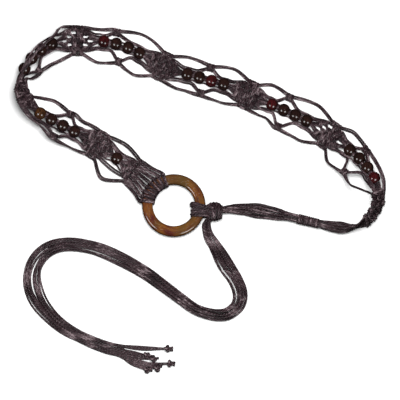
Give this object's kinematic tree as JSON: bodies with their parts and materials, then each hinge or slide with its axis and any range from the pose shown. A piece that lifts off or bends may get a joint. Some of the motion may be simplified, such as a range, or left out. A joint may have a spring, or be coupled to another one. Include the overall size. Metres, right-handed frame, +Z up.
{
  "type": "waist belt",
  "caption": "Knotted cord waist belt with round wooden beads, tied to a wooden ring, with a gathered end and a long loose tail of knotted cords, laid out flat.",
  "frame": {"origin": "on the table, under the middle of the belt without its loose tail", "axes": "+X along the belt's longer side, to the right in the picture; +Y to the top of the picture; +Z up from the table"},
  "size_m": [0.3516, 0.3364, 0.0341],
  "materials": {
    "cord": "waxed",
    "dark_wood": "polished",
    "red_wood": "polished",
    "amber_wood": "polished",
    "ring_wood": "polished"
  },
  "bodies": {
    "root": {"ring": "ring_wood", "ring_hitch": "cord", "knot_block_0": "cord", "knot_block_1": "cord", "knot_block_2": "cord", "knot_block_3": "cord", "knot_block_4": "cord", "knot_block_5": "cord", "knot_block_6": "cord", "knot_block_7": "cord", "outer_cords_0": "cord", "outer_cords_1": "cord", "outer_cords_2": "cord", "outer_cords_3": "cord", "outer_cords_4": "cord", "outer_cords_5": "cord", "outer_cords_6": "cord", "inner_cords_0": "cord", "inner_cords_1": "cord", "inner_cords_2": "cord", "inner_cords_3": "cord", "inner_cords_4": "cord", "inner_cords_5": "cord", "inner_cords_6": "cord", "bead_0_1": "dark_wood", "bead_1_1": "dark_wood", "bead_1_2": "dark_wood", "bead_1_3": "dark_wood", "bead_1_4": "amber_wood", "bead_2_1": "dark_wood", "bead_2_2": "dark_wood", "bead_2_3": "dark_wood", "bead_2_4": "dark_wood", "bead_3_1": "red_wood", "bead_3_2": "dark_wood", "bead_3_3": "dark_wood", "bead_3_4": "dark_wood", "bead_4_1": "dark_wood", "bead_4_2": "dark_wood", "bead_4_3": "red_wood", "bead_4_4": "dark_wood", "bead_5_1": "red_wood", "bead_5_2": "dark_wood", "bead_5_3": "dark_wood", "bead_5_4": "dark_wood", "bead_6_1": "dark_wood", "bead_6_2": "dark_wood", "bead_6_3": "dark_wood", "bead_6_4": "red_wood", "gathered_strap": "cord", "strap_wrap": "cord", "ring_knot": "cord", "tail_bundle": "cord", "end_knot_1": "cord", "end_knot_2": "cord", "end_knot_3": "cord", "end_knot_4": "cord", "end_knot_5": "cord", "end_knot_6": "cord"}
  },
  "joints": []
}
